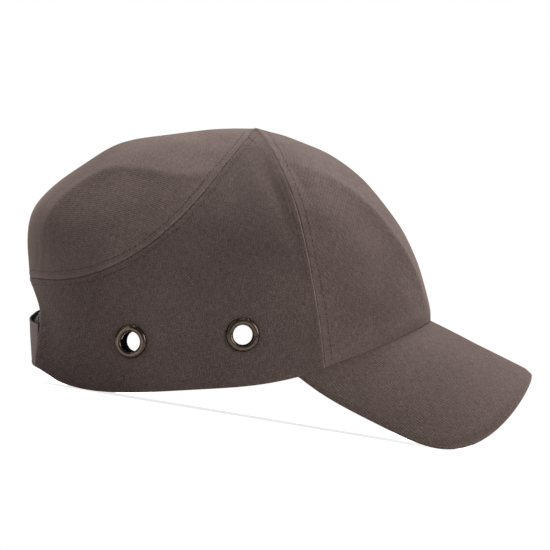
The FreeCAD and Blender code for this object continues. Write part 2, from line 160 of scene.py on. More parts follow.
def profile(points):
    """The natural cubic spline through equally spaced points, as a function of v from 0 to 1."""
    knots = np.array(points, float)
    last = len(knots) - 1
    system = np.eye(last + 1)
    curl = np.zeros_like(knots)
    for i in range(1, last):
        system[i, i - 1:i + 2] = (1.0, 4.0, 1.0)
        curl[i] = 6.0 * (knots[i - 1] - 2.0 * knots[i] + knots[i + 1])
    bends = np.linalg.solve(system, curl)

    def at(v):
        place = np.clip(v, 0.0, 1.0) * last
        i = np.minimum(place.astype(int), last - 1)
        far = (place - i)[..., None]
        near = 1.0 - far
        bent = (near ** 3 - near) * bends[i] + (far ** 3 - far) * bends[i + 1]
        return near * knots[i] + far * knots[i + 1] + bent / 6.0

    return at


front_line, rear_line, side_line, widest_x = map(profile, (FRONT_LINE, REAR_LINE, SIDE_LINE, WIDEST_X))


def superellipse_radius(along, across, length, width, power):
    return ((np.abs(along) / length) ** power + (np.abs(across) / width) ** power) ** (-1.0 / power)


def crown_face(angle, v):
    angle, v = np.broadcast_arrays(np.asarray(angle, float), np.asarray(v, float))
    along, across = np.cos(np.radians(angle)), np.sin(np.radians(angle))
    front, rear, side, middle = front_line(v), rear_line(v), side_line(v), widest_x(v)[..., 0]
    ahead = along >= 0.0
    end = np.where(ahead[..., None], front, rear)
    share = np.abs(along) ** np.where(ahead, 2.0 + 1.3 * v ** 2, 2.0 + 3.0 * v ** 3)
    length = np.maximum(np.abs(end[..., 0] - middle), 1e-6)
    width = np.maximum(side[..., 0], 1e-6)
    reach = superellipse_radius(along, across, length, width, 2.0 + 0.25 * v)
    z = side[..., 1] + (end[..., 1] - side[..., 1]) * share
    return np.stack([middle + reach * along, reach * across, z], -1)


def crown_normal(angle, v):
    angle, v = np.broadcast_arrays(np.asarray(angle, float), np.asarray(v, float))
    v = np.clip(v, 0.004, 0.999)
    round_way = crown_face(angle + 0.1, v) - crown_face(angle - 0.1, v)
    down_way = crown_face(angle, v + 0.001) - crown_face(angle, v - 0.001)
    return unit(np.cross(down_way, round_way))


def crown(angle, v, lift=0.0):
    return crown_face(angle, v) + crown_normal(angle, v) * np.asarray(lift)[..., None]


def front_seam_angle(v):
    rise = 1.0 - v
    turn = SEAM_POLE_ANGLE - FRONT_SEAM_LOW_ANGLE
    return FRONT_SEAM_LOW_ANGLE + turn * (0.58 * rise + 0.42 * rise ** 3)


def rear_seam_v(angle):
    turned = angle - SEAM_POLE_ANGLE
    drop = REAR_SEAM_DROP * (turned / (180.0 - SEAM_POLE_ANGLE)) ** REAR_SEAM_DROP_POWER
    return REAR_SEAM_V * (1.0 - np.exp(-turned / REAR_SEAM_TURN)) + drop


def arch_edge(share):
    """The edge of the half-moon opening, from its top in the middle down to the bottom edge."""
    turn = math.pi * np.minimum(share, 0.5)
    angle = 180.0 - ARCH_HALF_ANGLE * np.sin(turn)
    round_v = ARCH_TOP_V + (ARCH_SHOULDER_V - ARCH_TOP_V) * (1.0 - np.cos(turn))
    return angle, np.where(share < 0.5, round_v, between(ARCH_SHOULDER_V, 1.0, 2.0 * share - 1.0))


# ---- materials ----

WHITE = (1.0, 1.0, 1.0)


def add_node(tree, kind, **settings):
    node = tree.nodes.new(kind)
    for name, value in settings.items():
        setattr(node, name, value)
    return node


def feed(socket, value):
    """Links an output to an input, or sets the input to a plain value. A colour is made opaque."""
    if isinstance(value, bpy.types.NodeSocket):
        socket.id_data.links.new(value, socket)
    else:
        socket.default_value = (*value, 1.0) if isinstance(value, tuple) else value


def maths(operation, first, second=0.0):
    node = add_node(first.id_data, "ShaderNodeMath", operation=operation)
    feed(node.inputs[0], first)
    feed(node.inputs[1], second)
    return node.outputs[0]


def scaled(value, factor):
    return maths("MULTIPLY", value, factor)


def total(first, *others):
    for value in others:
        first = maths("ADD", first, value)
    return first


def noise_node(where, scale, detail=2.0, roughness=0.5):
    node = add_node(where.id_data, "ShaderNodeTexNoise")
    for name, value in (("Vector", where), ("Scale", scale), ("Detail", detail), ("Roughness", roughness)):
        feed(node.inputs[name], value)
    return node.outputs["Fac"]


def cells_node(where, scale, feature="F1"):
    """The distance from the middles of scattered round cells."""
    node = add_node(where.id_data, "ShaderNodeTexVoronoi", feature=feature)
    feed(node.inputs["Vector"], where)
    feed(node.inputs["Scale"], scale)
    return node.outputs["Distance"]


def mix_colour(share, first, second):
    node = add_node(share.id_data, "ShaderNodeMix", data_type="RGBA")
    for name, value in (("Factor", share), ("A", first), ("B", second)):
        feed(node.inputs[name], value)
    return node.outputs["Result"]


def spread(value, low, high, to_low=0.0, to_high=1.0):
    node = add_node(value.id_data, "ShaderNodeMapRange", clamp=True)
    for name, number in (("Value", value), ("From Min", low), ("From Max", high), ("To Min", to_low),
                         ("To Max", to_high)):
        feed(node.inputs[name], number)
    return node.outputs["Result"]


def new_material(name, **fixed):
    """A material with one Principled shader; fixed values go straight on its sockets."""
    material = bpy.data.materials.new(name)
    material.use_nodes = True
    shader = material.node_tree.nodes["Principled BSDF"]
    for socket, value in fixed.items():
        feed(shader.inputs[socket.replace("_", " ")], value)
    return material, material.node_tree, shader


def cloth_coordinates(tree):
    """Places along the cloth in millimetres, as x across the piece and y down it."""
    uv = add_node(tree, "ShaderNodeUVMap", uv_map="cloth")
    sized = add_node(tree, "ShaderNodeVectorMath", operation="SCALE")
    feed(sized.inputs["Scale"], 1000.0)
    feed(sized.inputs[0], uv.outputs["UV"])
    return sized.outputs[0]


def object_coordinates(tree):
    return add_node(tree, "ShaderNodeTexCoord").outputs["Object"]


# The wear_and_highlight attribute holds wear, and also the painted highlight on fold edges and eyelet crests.
def wear_and_highlight_of(tree):
    return add_node(tree, "ShaderNodeAttribute", attribute_name="wear_and_highlight").outputs["Fac"]


def glow(tree, lit, seen):
    """One strength for the light given and another for what the camera sees, for the world and the floor."""
    to_camera = add_node(tree, "ShaderNodeLightPath").outputs["Is Camera Ray"]
    return spread(to_camera, 0.0, 1.0, lit, seen)


def surface(shader, colour, roughness, height=None, depth=0.0):
    """The shader's colour and roughness, and a relief of the given depth in metres."""
    feed(shader.inputs["Base Color"], colour)
    feed(shader.inputs["Roughness"], roughness)
    if height is not None:
        bump = add_node(shader.id_data, "ShaderNodeBump")
        feed(bump.inputs["Strength"], 1.0)
        feed(bump.inputs["Distance"], depth)
        feed(bump.inputs["Height"], height)
        feed(shader.inputs["Normal"], bump.outputs["Normal"])


# How much lighter than the lightest threads the painted highlight on lit fold edges is.
PAINTED_FOLD_HIGHLIGHT = 1.65


def twill(name, deep, light, pitch=1.15, lean=35.0, rib_depth=0.00012, rib_colour=0.34):
    """Cotton twill: ribs of short raised warp threads at an angle across the cloth, with slubs, lint and dye.

    pitch is the ribs' spacing in millimetres. Wear from 0 to 1 brings out the light threads. Past 1.1 the
    value is a painted highlight along lit fold edges, PAINTED_FOLD_HIGHLIGHT times as light as the lightest
    threads.
    """
    material, tree, shader = new_material(name, Sheen_Weight=0.12, Sheen_Roughness=0.40,
                                          Specular_IOR_Level=0.12, Sheen_Tint=(1.0, 0.74, 0.62))
    cloth = cloth_coordinates(tree)
    split = add_node(tree, "ShaderNodeSeparateXYZ")
    feed(split.inputs[0], cloth)
    across, down = split.outputs["X"], split.outputs["Y"]

    def along(degrees):
        turn = math.radians(degrees)
        return total(scaled(across, math.cos(turn)), scaled(down, math.sin(turn)))

    def stretched(size_across, size_down, detail):
        sized = add_node(tree, "ShaderNodeVectorMath", operation="MULTIPLY")
        feed(sized.inputs[0], cloth)
        sized.inputs[1].default_value = (1.0 / size_across, 1.0 / size_down, 1.0)
        return noise_node(sized.outputs[0], 1.0, detail, 0.6)

    waver = scaled(noise_node(cloth, 0.35), 1.3)
    rib = maths("SINE", scaled(total(along(lean), waver), TURN / pitch))
    rib = spread(rib, -0.9, 0.8)
    thread = maths("SINE", scaled(along(lean + 78.0), TURN / (0.62 * pitch)))
    thread = spread(thread, -1.0, 1.0)
    warp, weft = stretched(0.50, 3.4, 3.0), stretched(3.4, 0.50, 3.0)
    fibre = noise_node(cloth, 2.3, 3.0, 0.7)
    height = total(scaled(rib, 0.55), scaled(thread, 0.25), scaled(fibre, 0.7))

    dye = noise_node(object_coordinates(tree), 24.0, 4.0, 0.55)
    lint = spread(noise_node(cloth, 1.9, 2.0, 0.7), 0.62, 0.76)
    share = scaled(rib, rib_colour)
    levels = ((warp, -0.32, 0.36), (weft, -0.24, 0.28), (fibre, -0.20, 0.24), (dye, 0.00, 0.26))
    for value, low, high in levels:
        share = total(share, spread(value, 0.28, 0.72, low, high))
    wear_and_highlight = wear_and_highlight_of(tree)
    # worn also carries the painted highlight, which drives the fold edges to the lightest threads.
    worn = scaled(wear_and_highlight, spread(fibre, 0.35, 0.7, 0.15, 0.65))
    share = total(share, scaled(lint, 0.22), worn)
    colour = mix_colour(spread(share, 0.0, 1.0), deep, light)
    # Painted highlight: past 1.1, a lit fold edge of a seam is coloured lighter than the cloth itself can be.
    painted_fold_highlight = tuple(PAINTED_FOLD_HIGHLIGHT * level for level in light)
    colour = mix_colour(spread(wear_and_highlight, 1.1, 1.4), colour, painted_fold_highlight)
    surface(shader, colour, spread(height, 0.2, 1.3, 0.95, 0.78), height, rib_depth)
    return material


def towelling(name, deep, light, loop_size, depth):
    """A pile of small loops, for the sweatband and both faces of the hook-and-loop."""
    material, tree, shader = new_material(name, Sheen_Weight=0.35, Sheen_Roughness=0.4)
    space = object_coordinates(tree)
    loops = spread(cells_node(space, 1.0 / loop_size, "SMOOTH_F1"), 0.1, 0.75, 1.0, 0.0)
    fuzz = noise_node(space, 2.5 / loop_size, 3.0, 0.65)
    height = total(loops, scaled(fuzz, 0.6))
    colour = mix_colour(spread(height, 0.4, 1.4), deep, light)
    surface(shader, colour, spread(fuzz, 0.3, 0.7, 0.85, 1.0), height, depth)
    return material


def foam(name, deep, light):
    """Closed-cell foam: a skin with fine pores and faint press marks."""
    material, tree, shader = new_material(name, Sheen_Weight=0.1)
    space = object_coordinates(tree)
    pits = spread(cells_node(space, 900.0), 0.0, 0.45)
    marks = noise_node(space, 60.0, 3.0)
    height = total(pits, scaled(marks, 1.5))
    tone = total(scaled(pits, 0.5), scaled(marks, 0.5))
    surface(shader, mix_colour(tone, deep, light), spread(marks, 0.3, 0.7, 0.68, 0.86), height, 0.00008)
    return material


def moulded(name, deep, light, grain):
    """Moulded plastic with a fine spark-eroded grain and faint flow marks."""
    material, tree, shader = new_material(name, Specular_IOR_Level=0.42)
    space = object_coordinates(tree)
    fine = noise_node(space, 1.0 / grain, 2.0, 0.6)
    flow = noise_node(space, 18.0, 3.0)
    tone = total(scaled(fine, 0.3), scaled(flow, 0.3))
    surface(shader, mix_colour(flow, deep, light), spread(tone, 0.15, 0.45, 0.38, 0.58), fine, 0.00004)
    return material


def bronze(name):
    """Dark bronze plating with fine scratches, lighter on the rolled crest: abraded metal and a painted
    highlight.
    """
    material, tree, shader = new_material(name, Metallic=1.0)
    space = object_coordinates(tree)
    tarnish = noise_node(space, 420.0, 4.0, 0.6)
    scratches = noise_node(space, 2600.0, 2.0, 0.7)
    # The rolled crest is lighter: abraded metal and a painted highlight.
    rubbed_and_highlight = scaled(wear_and_highlight_of(tree), spread(tarnish, 0.3, 0.62, 0.45, 1.0))
    dark = mix_colour(tarnish, (0.034, 0.024, 0.019), (0.070, 0.051, 0.040))
    colour = mix_colour(rubbed_and_highlight, dark, (0.130, 0.099, 0.076))
    surface(shader, colour, spread(scratches, 0.3, 0.7, 0.12, 0.26), scratches, 0.00001)
    return material


def sewing_thread(name, deep, light):
    """Dull twisted thread."""
    material, tree, shader = new_material(name, Sheen_Weight=0.02, Specular_IOR_Level=0.08)
    twist = noise_node(object_coordinates(tree), 3200.0, 2.0, 0.6)
    surface(shader, mix_colour(twist, deep, light), spread(twist, 0.3, 0.7, 0.6, 0.85), twist, 0.00006)
    return material


def shadow_hole(name):
    """Painted shade for needle holes: a near-black colour for small discs laid on the cloth."""
    material, tree, shader = new_material(name, Roughness=1.0)
    shade = noise_node(object_coordinates(tree), 900.0)
    feed(shader.inputs["Base Color"], mix_colour(shade, (0.006, 0.005, 0.005), (0.014, 0.011, 0.010)))
    return material


# Front and rear panels: the same twill as the sides and peak, painted lighter to stand for the light on them.
PAINTED_LIGHTER_COVER = twill("twill_cover_painted_lighter", (0.0485, 0.0342, 0.0312), (0.1225, 0.0880, 0.0805), lean=48.0,
              rib_depth=0.00008, rib_colour=0.13)
SIDE_COVER = twill("twill_side", (0.0356, 0.0246, 0.0226), (0.0922, 0.0650, 0.0597), lean=48.0,
                   rib_depth=0.00009, rib_colour=0.22)
PEAK_CLOTH = twill("twill_peak", (0.0358, 0.0248, 0.0226), (0.0915, 0.0648, 0.0588), lean=14.0,
                   rib_colour=0.42)
# Strap and tab: the same twill painted lighter still, standing for the light on the back of the cap.
PAINTED_LIGHTER_STRAP_CLOTH = twill("twill_strap_painted_lighter", (0.066, 0.0495, 0.0468), (0.172, 0.1315, 0.1250), pitch=1.0)
LINING = twill("lining", (0.018, 0.016, 0.016), (0.050, 0.044, 0.043), pitch=0.9)
TAPE = twill("binding_tape", (0.022, 0.019, 0.018), (0.060, 0.052, 0.049), pitch=0.9, lean=0.0)
TOWEL = towelling("towelling", (0.010, 0.010, 0.011), (0.050, 0.048, 0.050), 0.0011, 0.00030)
LOOPS = towelling("loop_pile", (0.004, 0.004, 0.004), (0.022, 0.022, 0.023), 0.0007, 0.00020)
HOOKS = towelling("hook_pile", (0.003, 0.003, 0.003), (0.016, 0.016, 0.017), 0.0009, 0.00035)
FOAM = foam("foam", (0.012, 0.012, 0.013), (0.034, 0.034, 0.036))
SHELL = moulded("shell_plastic", (0.030, 0.031, 0.034), (0.052, 0.053, 0.058), 0.0004)
BOARD = moulded("board_plastic", (0.42, 0.42, 0.40), (0.52, 0.52, 0.50), 0.0006)
BRONZE = bronze("bronze")
THREAD = sewing_thread("thread", (0.018, 0.0135, 0.012), (0.044, 0.033, 0.029))
# Painted shade for the needle holes: near-black discs.
PAINTED_HOLE_SHADE = shadow_hole("painted_needle_hole_shade")
LABEL = twill("label_satin", (0.42, 0.41, 0.39), (0.62, 0.61, 0.58), pitch=0.5, lean=0.0)


# ---- mesh builders ----

def add_piece(name, points, faces, materials, body=CAP, stands_for=(), slot="twill", uv=None, face_slots=None,
              wear_and_highlight=None):
    """A smooth mesh piece from points of the cap's own frame, riding on a body."""
    mesh = bpy.data.meshes.new(name)
    mesh.from_pydata(to_rest(points).tolist(), [], faces)
    for material in materials:
        mesh.materials.append(material)
    mesh.polygons.foreach_set("use_smooth", [True] * len(mesh.polygons))
    if face_slots is not None:
        mesh.polygons.foreach_set("material_index", face_slots)
    if uv is not None:
        corners = np.empty(len(mesh.loops), int)
        mesh.loops.foreach_get("vertex_index", corners)
        layer = mesh.uv_layers.new(name="cloth")
        layer.data.foreach_set("uv", (uv[corners] * 0.001).astype(np.float32).ravel())
    if wear_and_highlight is not None:
        layer = mesh.attributes.new("wear_and_highlight", "FLOAT", "POINT")
        layer.data.foreach_set("value", np.asarray(wear_and_highlight, np.float32))
    mesh.validate()
    piece = add_object(name, mesh)
    if body is not None:
        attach(piece, body)
    if stands_for:
        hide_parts(*stands_for)
    return piece


def run_lengths(points, axis):
    """Distance run along the grid from its first row or column."""
    steps = np.linalg.norm(np.diff(points, axis=axis), axis=-1)
    start = np.zeros_like(np.take(steps, [0], axis=axis))
    return np.concatenate([start, np.cumsum(steps, axis=axis)], axis=axis)


def flat(at):
    """No relief and no wear."""
    return 0.0, 0.0, 0.0 * at["a"]


def soft_sheet(name, place, a_grid, b_grid, outer_lift, thickness, materials, turned=False, rounding=None,
               relief=flat, open_at=(), weave=None, **piece):
    """A closed sheet with round edges. place(a, b, lift) gives points in the cap's frame.

    The grids are what spaced() takes, and turned runs a backwards, so that the faces look outwards.

    relief(at) shapes it. at holds the grid, the distances in millimetres to its edges a0, a1, b0 and b1 and
    to the nearest one, and it returns how far the whole sheet moves, how far its outer face stands proud of
    that, and its wear with any painted highlight. open_at lists round holes as (centre, radius). weave(at)
    gives places on the flat cloth, which otherwise run from the sheet's middle and its b0 edge.
    """
    a_shares, b_shares = spaced(*a_grid), spaced(*b_grid)
    a, b = np.meshgrid(a_shares[::-1] if turned else a_shares, b_shares)
    middle = place(a, b, outer_lift - thickness / 2.0)
    normal = unit(place(a, b, outer_lift + 1.0) - place(a, b, outer_lift - 1.0))
    across = run_lengths(middle, 1)
    down = run_lengths(middle, 0)
    at = {"a": a, "b": b, "points": middle, "a0": across, "a1": across[:, -1:] - across,
          "b0": down, "b1": down[-1:] - down}
    at["edge"] = np.minimum(np.minimum(at["a0"], at["a1"]), np.minimum(at["b0"], at["b1"]))
    rounding = thickness / 2.0 if rounding is None else rounding
    half = thickness / 2.0 * np.sqrt(1.0 - (1.0 - np.clip(at["edge"] / rounding, 0.0, 1.0)) ** 2)
    shift, proud, wear_and_highlight = relief(at)
    proud = proud * smooth(0.0, 0.8, at["edge"])
    outer = middle + normal * (shift + half + proud)[..., None]
    inner = middle + normal * (shift - half)[..., None]

    rows, columns = a.shape
    on_rim = np.zeros((rows, columns), bool)
    on_rim[0] = on_rim[-1] = True
    on_rim[:, 0] = on_rim[:, -1] = True
    top = np.arange(rows * columns).reshape(rows, columns)
    low = top.copy()
    low[~on_rim] = rows * columns + np.arange((~on_rim).sum())
    points = np.concatenate([outer.reshape(-1, 3), inner[~on_rim]])
    uv = weave(at) if weave else np.stack([across - across[:, -1:] / 2.0, down], -1)
    uv = np.concatenate([uv.reshape(-1, 2), uv[~on_rim]])
    # The outer points' wear and painted highlight; the inner points get none.
    worn = np.concatenate([wear_and_highlight.ravel(), 0.0 * wear_and_highlight[~on_rim]])

    centres = (middle[:-1, :-1] + middle[1:, :-1] + middle[1:, 1:] + middle[:-1, 1:]) / 4.0
    kept = np.ones((rows - 1, columns - 1), bool)
    for centre, radius in open_at:
        kept &= np.linalg.norm(centres - centre, axis=-1) > radius

    def quads(index, flip):
        corners = [index[:-1, :-1], index[1:, :-1], index[1:, 1:], index[:-1, 1:]]
        return np.stack(corners[::-1] if flip else corners, -1)[kept]

    faces = np.concatenate([quads(top, False), quads(low, True)])
    face_slots = np.repeat([0, len(materials) - 1], len(faces) // 2)
    walls = hole_walls(kept, top, low)
    faces = faces.tolist() + walls
    face_slots = face_slots.tolist() + [len(materials) - 1] * len(walls)
    return add_piece(name, points, faces, materials, uv=uv, face_slots=face_slots, wear_and_highlight=worn, **piece)


def hole_walls(kept, top, low):
    """Faces that join the outer and inner faces of a sheet round its holes."""
    walls = []
    corners = [(0, 0), (0, 1), (1, 1), (1, 0)]
    for row, column in np.argwhere(~kept):
        for i, (down, across) in enumerate([(-1, 0), (0, 1), (1, 0), (0, -1)]):
            if kept[row + down, column + across]:
                start = (row + corners[i][0], column + corners[i][1])
                end = (row + corners[i - 3][0], column + corners[i - 3][1])
                walls.append([int(point) for point in (top[start], top[end], low[end], low[start])])
    return walls


def ring_faces(rings, sides, closed=False):
    """Faces between rings of points in a row; closed also joins the last ring to the first."""
    faces = []
    for ring in range(rings if closed else rings - 1):
        after = (ring + 1) % rings
        for side in range(sides):
            near, far = ring * sides, after * sides
            turn = (side + 1) % sides
            faces.append([near + side, far + side, far + turn, near + turn])
    return faces


def repeated(faces, count, points_each, start=0):
    """The same faces for each of count groups of points that follow one another."""
    starts = start + points_each * np.arange(count)
    return [[int(first) + i for i in face] for first in starts for face in faces]


STITCH_RINGS, STITCH_SIDES = 5, 6
# The painted needle hole shade discs: their sides, and how far their rims and middles rise.
HOLE_SHADE_SIDES = 6
HOLE_SHADE_RISE, HOLE_SHADE_MIDDLE_RISE = 0.02, 0.10


def round_turn(sides):
    """The cosines and sines of equal steps round a circle."""
    turn = TURN * np.arange(sides)[:, None] / sides
    return np.cos(turn), np.sin(turn)


def stitch_row(name, path, normals, length=2.3, gap=1.0, radius=0.17, hole_shade=0.40, lift=0.0, slot="twill"):
    """A row of sewn stitches along a path, each a thread that dives into the cloth, and for the needle holes
    small dark discs of painted shade.

    radius is the thread's and hole_shade the shade disc's. lift is how far the whole row stands off the path.
    """
    run = run_lengths(path, 0)
    count = max(1, int(run[-1] / (length + gap)))
    pace = run[-1] / count
    starts = pace * np.arange(count)

    def at(distance):
        point, normal = (np.stack([np.interp(distance, run, line[:, i]) for i in range(3)], -1)
                         for line in (path, unit(normals)))
        return point, unit(normal)

    share = np.linspace(0.0, 1.0, STITCH_RINGS)
    distance = starts[:, None] + gap / 2.0 + share * (pace - gap)
    here, normal = at(distance)
    side = unit(np.cross(normal, at(distance + 0.05)[0] - here))
    arc = np.sin(math.pi * share)[:, None, None]
    dive, thin = radius * (1.6 * arc - 0.85), radius * (0.75 + 0.25 * arc)
    wide, high = round_turn(STITCH_SIDES)
    threads = here[:, :, None] + side[:, :, None] * wide * thin * 1.25
    threads = threads + normal[:, :, None] * (high * thin + dive + lift)
    last = STITCH_RINGS * STITCH_SIDES - 1
    ends = [list(range(STITCH_SIDES)), list(range(last, last - STITCH_SIDES, -1))]
    faces = repeated(ends + ring_faces(STITCH_RINGS, STITCH_SIDES), count, last + 1)

    # Needle holes: small near-black discs on the cloth, painted shade.
    here, normal = (values[:, None] for values in at(starts))
    side = unit(np.cross(normal, [0.3, 0.2, 0.9]))
    wide, high = round_turn(HOLE_SHADE_SIDES)
    rim = here + (side * wide + np.cross(normal, side) * high) * hole_shade + normal * (lift + HOLE_SHADE_RISE)
    holes = np.concatenate([here + normal * (lift + HOLE_SHADE_MIDDLE_RISE), rim], 1)
    fan = [[0, 1 + k, 1 + (k + 1) % HOLE_SHADE_SIDES] for k in range(HOLE_SHADE_SIDES)]
    hole_shade_faces = repeated(fan, count, HOLE_SHADE_SIDES + 1, start=count * (last + 1))
    add_piece(name, np.concatenate([threads.reshape(-1, 3), holes.reshape(-1, 3)]), faces + hole_shade_faces,
              [THREAD, PAINTED_HOLE_SHADE], face_slots=[0] * len(faces) + [1] * len(hole_shade_faces), slot=slot)


LOOK_FROM = 2.5
CROWN_BEND = 170.0


def on_cloth(piece, path, normals):
    """The points of a piece's outer face next to a path, so that stitches follow its folds."""
    places = to_rest(path + normals * LOOK_FROM)
    return from_rest([piece.closest_point_on_mesh(Vector(place))[1][:] for place in places.tolist()])


def beside(path, normals, distance):
    """A path moved sideways over the bent surface, to the left of its direction seen from outside."""
    side = unit(np.cross(normals, unit(np.gradient(path, axis=0))))
    return path + side * distance - normals * distance ** 2 / CROWN_BEND


def lathe(name, profile_points, centre, axis, materials, wear_and_highlight, sides=72, **piece):
    """A ring turned round an axis from (radius, height) points, each with its wear and painted highlight."""
    axis = unit(np.asarray(axis, float))
    first = unit(np.cross(axis, [0.0, 0.0, 1.0]))
    second = np.cross(axis, first)
    wide, high = round_turn(sides)
    rounds = wide * first + high * second
    points = [centre + rounds * radius + axis * height for radius, height in profile_points]
    faces = ring_faces(len(profile_points), sides, closed=True)
    add_piece(name, np.concatenate(points), faces, materials, wear_and_highlight=np.repeat(wear_and_highlight, sides), **piece)


# ---- camera, first ----

VIEW_DISTANCE = 3.6
VIEW_WIDTH = 0.29425
VIEW_PITCH = REST_PITCH - 3.15
EYE_BEHIND_EYELET = 0.0010
AIM_AHEAD, AIM_UP = 0.0182, 0.0321


def make_camera():
    """A long lens level with the eyelets and square to the side, rolled so that the cap looks worn."""
    turn = math.radians(VIEW_PITCH)
    right = Vector((math.cos(turn), 0.0, math.sin(turn)))
    up = Vector((-math.sin(turn), 0.0, math.cos(turn)))
    eye = Vector(to_rest(crown_face(*EYELETS["front_eyelet"])).tolist())
    eye.y = 0.0
    eye = eye - right * EYE_BEHIND_EYELET
    target = eye + right * AIM_AHEAD + up * AIM_UP
    eye = eye - Vector((0.0, VIEW_DISTANCE, 0.0))
    ahead = (target - eye).normalized()
    across = ahead.cross(up).normalized()
    data = bpy.data.cameras.new("camera")
    data.sensor_width = 36.0
    data.lens = data.sensor_width * VIEW_DISTANCE / VIEW_WIDTH
    data.clip_end = 50.0
    camera = add_object("camera", data)
    turned = Matrix((across, across.cross(ahead), -ahead)).transposed()
    camera.matrix_world = Matrix.Translation(eye) @ turned.to_4x4()
    bpy.context.scene.camera = camera


make_camera()


# ---- the cover ----

# Where the cloth breaks over the shell's edge: a sharp crease with a height and a reach in millimetres,
# along (angle, v) places. Soft dents and swells have a half width. All lie on both sides of the cap.
SHARP_CREASES = [
    (2.6, 6.2, [(57.0, 0.362), (43.9, 0.403), (35.7, 0.451), (29.8, 0.505), (24.8, 0.578), (21.4, 0.639),
                (18.0, 0.712), (14.4, 0.792), (12.0, 0.876), (11.5, 0.945)]),
    (2.1, 7.5, [(93.0, 0.372), (101.0, 0.390), (110.4, 0.400), (119.2, 0.403), (128.6, 0.406),
                (137.9, 0.418), (146.4, 0.448), (151.5, 0.496), (154.4, 0.554), (155.2, 0.620),
                (156.1, 0.675), (157.1, 0.725)]),
]
SOFT_CREASES = [
    (-1.3, 5.5, [(74.3, 0.27), (71.5, 0.337), (68.9, 0.403), (66.3, 0.46), (63.4, 0.513), (60.9, 0.57),
                 (58.8, 0.64)]),
    (-1.4, 4.6, [(56.5, 0.355), (55.8, 0.41), (54.0, 0.46), (51.0, 0.53)]),
    (0.7, 5.0, [(50.0, 0.47), (49.5, 0.53), (48.0, 0.60)]),
    (-0.60, 7.0, [(100.0, 0.62), (110.0, 0.70), (122.0, 0.76)]),
    (0.60, 7.0, [(56.0, 0.80), (58.0, 0.88), (60.5, 0.96)]),
    (-0.55, 8.0, [(150.0, 0.84), (153.0, 0.90), (156.0, 0.97)]),
    (-0.45, 2.6, [(152.0, 0.69), (153.2, 0.735), (154.6, 0.785)]),
    (-0.40, 2.4, [(158.0, 0.71), (158.5, 0.745), (159.5, 0.785)]),
]
CREASE_POINTS = 34
CREASE_ROUNDING = 1.1

# Seams, in millimetres. The laps are how far the side panels reach over the front one, in degrees.
SEAM_ROUNDING = 0.35
SEAM_LAP, SEAM_LOW_LAP = 0.17, 0.30
WELT_WIDTH, WELT_HEIGHT = 5.0, 0.13
STITCH_GROOVE, STITCH_FROM_SEAM = 0.17, 3.8
BACK_EDGE_ROLL = 0.5
EYELET_CUT = 6.6


def nearest_on_line(points, line, strength):
    """Each point's distance to a line of short straight runs, and the line's strength there."""
    near = np.full(points.shape[:-1], 1e9)
    force = np.zeros_like(near)
    for start, end, first, last in zip(line[:-1], line[1:], strength[:-1], strength[1:]):
        run = end - start
        share = np.clip((points - start) @ run / (run @ run), 0.0, 1.0)
        away = np.linalg.norm(points - start - share[..., None] * run, axis=-1)
        force = np.where(away < near, between(first, last, share), force)
        near = np.minimum(near, away)
    return near, force


def crease_lift(points):
    """How far the creases raise each point of the cover."""
    lift = np.zeros(points.shape[:-1])
    fine = np.linspace(0.0, 1.0, CREASE_POINTS)
    fade = np.sin(math.pi * fine) ** 0.5
    for sharp, creases in ((True, SHARP_CREASES), (False, SOFT_CREASES)):
        for height, reach, places in creases:
            angle, v = profile(places)(fine).T
            for side in (-1.0, 1.0):
                away, force = nearest_on_line(points, crown_face(side * angle, v), fade)
                if sharp:
                    fall = np.exp((CREASE_ROUNDING - np.hypot(away, CREASE_ROUNDING)) / reach)
                else:
                    fall = bell(away, reach)
                lift += height * force * fall
    return lift


def seam_relief(distance, step):
    """A turned seam: the cloth tucks in at it, or steps up to it, and lies double for a few millimetres."""
    tuck = step * bell(distance, 0.42 if step < 0.0 else 1.6)
    welt = WELT_HEIGHT * smooth(0.2, 1.2, distance)
    welt = welt * (1.0 - smooth(WELT_WIDTH - 0.8, WELT_WIDTH + 1.4, distance))
    groove = -STITCH_GROOVE * bell(distance, 0.6, STITCH_FROM_SEAM)
    return tuck, welt + groove


def pucker(at, distance, reach, depth, seed):
    """Small waves that the sewing thread pulls into the cloth near a seam."""
    return depth * noise_at(at["points"], 6.0, seed) * bell(distance, reach)


